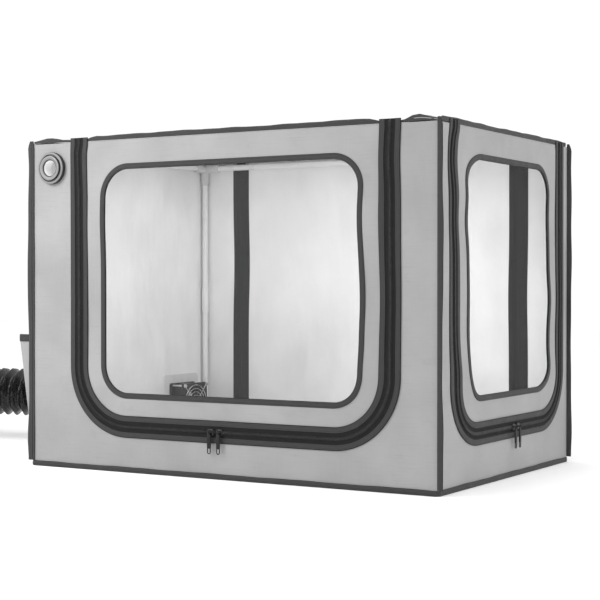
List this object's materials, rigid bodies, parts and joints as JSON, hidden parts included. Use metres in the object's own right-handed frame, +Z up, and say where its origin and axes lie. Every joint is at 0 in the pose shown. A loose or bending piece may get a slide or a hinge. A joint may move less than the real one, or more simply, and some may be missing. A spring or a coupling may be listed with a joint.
{
  "type": "printer enclosure tent",
  "caption": "Fabric enclosure tent for a 3D printer: tube frame, zipped doors with clear windows, filament port, side pocket and an exhaust fan with a flexible duct.",
  "frame": {"origin": "middle of the tent's footprint, on the surface it stands on", "axes": "+X to the right along the front, +Y from the front to the back, +Z up"},
  "size_m": [1.867, 0.6156, 0.64],
  "materials": {
    "cover_fabric": "coated silver-grey woven cloth, matt",
    "binding_tape": "black woven tape folded over the seams",
    "zip_tape": "black zip tape with a nylon coil",
    "window_film": "clear flexible film",
    "zip_metal": "black enamelled die casting",
    "frame_tube": "white powder coat",
    "connector_plastic": "moulded, off-white",
    "port_plastic": "moulded, grey",
    "fan_plastic": "moulded, black",
    "patch_board": "stiff pale board",
    "guard_wire": "plated wire",
    "duct_fabric": "black coated foil over a wire helix",
    "clamp_steel": "stainless band"
  },
  "bodies": {
    "root": {"front_wall": "cover_fabric", "right_wall": "cover_fabric", "rear_wall": "cover_fabric", "left_wall": "cover_fabric", "roof_panel": "cover_fabric", "floor_panel": "cover_fabric", "side_pocket": "cover_fabric", "top_piping": "binding_tape", "bottom_piping": "binding_tape", "corner_piping": "binding_tape", "pocket_binding": "binding_tape", "front_zip_outer": "zip_tape", "right_zip_outer": "zip_tape", "rear_zip_outer": "zip_tape", "front_bottom_rail": "frame_tube", "front_top_rail": "frame_tube", "rear_bottom_rail": "frame_tube", "rear_top_rail": "frame_tube", "left_bottom_rail": "frame_tube", "left_top_rail": "frame_tube", "right_bottom_rail": "frame_tube", "right_top_rail": "frame_tube", "lower_uprights": "frame_tube", "upper_uprights": "frame_tube", "top_connectors": "connector_plastic", "bottom_connectors": "connector_plastic", "upright_sleeves": "connector_plastic", "port_flange": "port_plastic", "port_nut": "port_plastic", "fan_frame": "fan_plastic", "duct_spigot": "fan_plastic", "duct_end_collar": "fan_plastic", "fan_mount_plate": "patch_board", "fan_guard": "guard_wire", "fan_screws": "guard_wire", "duct_hose": "duct_fabric", "hose_clamp": "clamp_steel"},
    "front_flap": {"front_door": "cover_fabric", "front_zip_inner": "zip_tape", "front_window": "window_film", "front_window_binding": "binding_tape"},
    "front_slider_left": {"front_slider_left": "zip_metal"},
    "front_pull_left": {"front_pull_left": "zip_metal"},
    "front_slider_right": {"front_slider_right": "zip_metal"},
    "front_pull_right": {"front_pull_right": "zip_metal"},
    "right_flap": {"right_door": "cover_fabric", "right_zip_inner": "zip_tape", "right_window": "window_film", "right_window_binding": "binding_tape"},
    "right_slider_left": {"right_slider_left": "zip_metal"},
    "right_pull_left": {"right_pull_left": "zip_metal"},
    "right_slider_right": {"right_slider_right": "zip_metal"},
    "right_pull_right": {"right_pull_right": "zip_metal"},
    "rear_flap": {"rear_door": "cover_fabric", "rear_zip_inner": "zip_tape"},
    "rear_slider_left": {"rear_slider_left": "zip_metal"},
    "rear_pull_left": {"rear_pull_left": "zip_metal"},
    "rear_slider_right": {"rear_slider_right": "zip_metal"},
    "rear_pull_right": {"rear_pull_right": "zip_metal"},
    "fan_rotor": {"fan_rotor": "fan_plastic"}
  },
  "joints": [
    {"name": "front_door_hinge", "type": "hinge", "parent": "root", "child": "front_flap", "pos_m": [-0.007, -0.3002, 0.628], "axis": [-1, 0, 0], "range_deg": [0, 170]},
    {"name": "front_slider_left_run", "type": "slide", "parent": "front_flap", "child": "front_slider_left", "axis": [1, 0, 0], "range_m": [-0.183, 0]},
    {"name": "front_pull_left_swing", "type": "hinge", "parent": "front_slider_left", "child": "front_pull_left", "pos_m": [-0.017, -0.3054, 0.086], "axis": [-1, 0, 0], "range_deg": [0, 165]},
    {"name": "front_slider_right_run", "type": "slide", "parent": "front_flap", "child": "front_slider_right", "axis": [1, 0, 0], "range_m": [0, 0.224]},
    {"name": "front_pull_right_swing", "type": "hinge", "parent": "front_slider_right", "child": "front_pull_right", "pos_m": [0.003, -0.3054, 0.086], "axis": [-1, 0, 0], "range_deg": [0, 165]},
    {"name": "right_door_hinge", "type": "hinge", "parent": "root", "child": "right_flap", "pos_m": [0.4432, 0.027, 0.628], "axis": [0, -1, 0], "range_deg": [0, 170]},
    {"name": "right_slider_left_run", "type": "slide", "parent": "right_flap", "child": "right_slider_left", "axis": [0, 1, 0], "range_m": [-0.144, 0]},
    {"name": "right_pull_left_swing", "type": "hinge", "parent": "right_slider_left", "child": "right_pull_left", "pos_m": [0.4484, 0.017, 0.092], "axis": [0, -1, 0], "range_deg": [0, 165]},
    {"name": "right_slider_right_run", "type": "slide", "parent": "right_flap", "child": "right_slider_right", "axis": [0, 1, 0], "range_m": [0, 0.11]},
    {"name": "right_pull_right_swing", "type": "hinge", "parent": "right_slider_right", "child": "right_pull_right", "pos_m": [0.4484, 0.037, 0.092], "axis": [0, -1, 0], "range_deg": [0, 165]},
    {"name": "rear_door_hinge", "type": "hinge", "parent": "root", "child": "rear_flap", "pos_m": [0, 0.3002, 0.628], "axis": [1, 0, 0], "range_deg": [0, 170]},
    {"name": "rear_slider_left_run", "type": "slide", "parent": "rear_flap", "child": "rear_slider_left", "axis": [-1, 0, 0], "range_m": [-0.261, 0]},
    {"name": "rear_pull_left_swing", "type": "hinge", "parent": "rear_slider_left", "child": "rear_pull_left", "pos_m": [0.01, 0.3054, 0.045], "axis": [1, 0, 0], "range_deg": [0, 165]},
    {"name": "rear_slider_right_run", "type": "slide", "parent": "rear_flap", "child": "rear_slider_right", "axis": [-1, 0, 0], "range_m": [0, 0.261]},
    {"name": "rear_pull_right_swing", "type": "hinge", "parent": "rear_slider_right", "child": "rear_pull_right", "pos_m": [-0.01, 0.3054, 0.045], "axis": [1, 0, 0], "range_deg": [0, 165]},
    {"name": "fan_spin", "type": "hinge", "parent": "root", "child": "fan_rotor", "pos_m": [-0.4183, 0.202, 0.089], "axis": [-1, 0, 0], "continuous": true}
  ]
}
